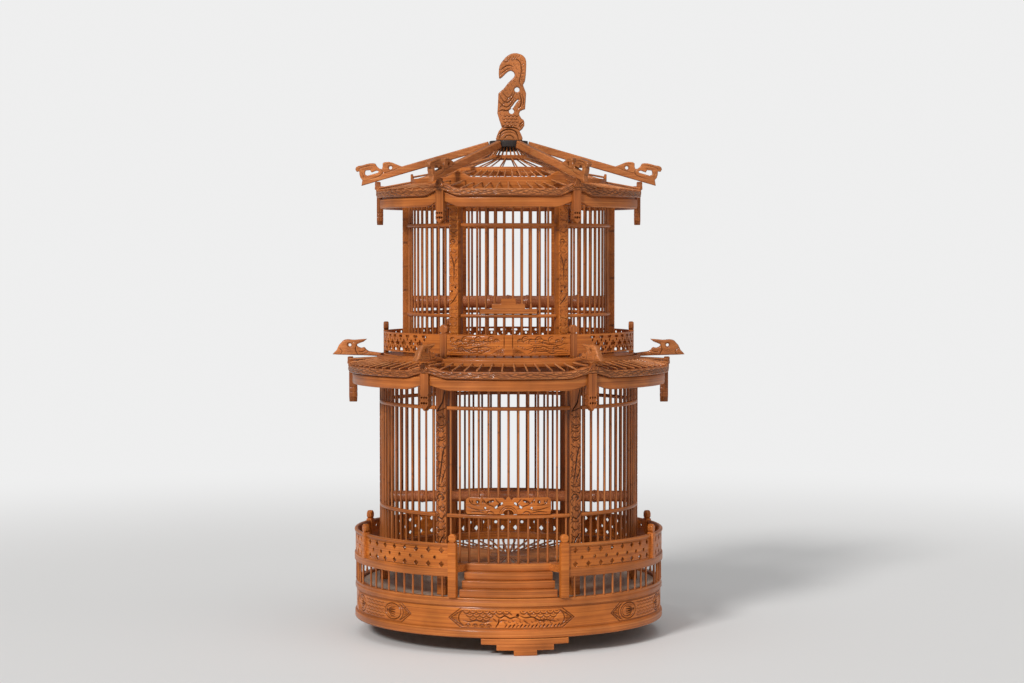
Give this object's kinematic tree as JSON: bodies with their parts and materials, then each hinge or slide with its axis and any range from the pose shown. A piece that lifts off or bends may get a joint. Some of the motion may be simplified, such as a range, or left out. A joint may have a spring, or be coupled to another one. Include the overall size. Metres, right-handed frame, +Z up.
{
  "type": "bird cage",
  "caption": "Pagoda bird cage of varnished bamboo: drum base with balustrade and stair, barred storeys with sliding doors and perches, lifted eaves, bird heads, hub and turning hook.",
  "frame": {"origin": "centre of the circle that the three feet stand on, on the table plane", "axes": "+Z up along the axis of the cage, -Y towards the stair and the two doors, +X to the viewer's right"},
  "size_m": [0.44, 0.4, 0.7201],
  "materials": {
    "bamboo": null,
    "pale_bamboo": null,
    "carved_bamboo": null,
    "dark_whip": null,
    "deck_board": null,
    "dark_hub": null
  },
  "bodies": {
    "cage": {"foot_1": "carved_bamboo", "foot_2": "carved_bamboo", "foot_3": "carved_bamboo", "base_drum": "bamboo", "deck_board": "deck_board", "balustrade_right": "bamboo", "balustrade_rear": "bamboo", "balustrade_left": "bamboo", "stair": "bamboo", "lower_sill_ring": "bamboo", "lower_floor_grille": "pale_bamboo", "lower_post_front_right": "carved_bamboo", "lower_post_right": "carved_bamboo", "lower_post_rear_right": "carved_bamboo", "lower_post_rear_left": "carved_bamboo", "lower_post_left": "carved_bamboo", "lower_post_front_left": "carved_bamboo", "lower_bars_front": "pale_bamboo", "lower_bars_front_right": "pale_bamboo", "lower_bars_rear_right": "pale_bamboo", "lower_bars_rear": "pale_bamboo", "lower_bars_rear_left": "pale_bamboo", "lower_bars_front_left": "pale_bamboo", "lower_perch": "dark_whip", "lower_eave": "bamboo", "lower_roof": "pale_bamboo", "bird_head_front_right": "carved_bamboo", "bird_head_right": "carved_bamboo", "bird_head_rear_right": "carved_bamboo", "bird_head_rear_left": "carved_bamboo", "bird_head_left": "carved_bamboo", "bird_head_front_left": "carved_bamboo", "gallery_floor": "bamboo", "gallery_front_board": "carved_bamboo", "gallery_lattice": "carved_bamboo", "upper_post_front_right": "carved_bamboo", "upper_post_right": "carved_bamboo", "upper_post_rear_right": "carved_bamboo", "upper_post_rear_left": "carved_bamboo", "upper_post_left": "carved_bamboo", "upper_post_front_left": "carved_bamboo", "upper_bars_front": "pale_bamboo", "upper_bars_front_right": "pale_bamboo", "upper_bars_rear_right": "pale_bamboo", "upper_bars_rear": "pale_bamboo", "upper_bars_rear_left": "pale_bamboo", "upper_bars_front_left": "pale_bamboo", "upper_perch": "dark_whip", "upper_eave": "bamboo", "upper_roof": "pale_bamboo", "rib_front_right": "carved_bamboo", "rib_right": "carved_bamboo", "rib_rear_right": "carved_bamboo", "rib_rear_left": "carved_bamboo", "rib_left": "carved_bamboo", "rib_front_left": "carved_bamboo", "apex_hub": "dark_hub"},
    "lower_door": {"lower_door": "pale_bamboo"},
    "upper_door": {"upper_door": "pale_bamboo"},
    "hook": {"hook": "carved_bamboo"}
  },
  "joints": [
    {"name": "lower_door_lift", "type": "slide", "parent": "cage", "child": "lower_door", "axis": [0, 0, 1], "range_m": [0, 0.05]},
    {"name": "upper_door_lift", "type": "slide", "parent": "cage", "child": "upper_door", "axis": [0, 0, 1], "range_m": [0, 0.042]},
    {"name": "hook_swivel", "type": "hinge", "parent": "cage", "child": "hook", "pos_m": [0, 0, 0.6114], "axis": [0, 0, 1], "continuous": true}
  ]
}
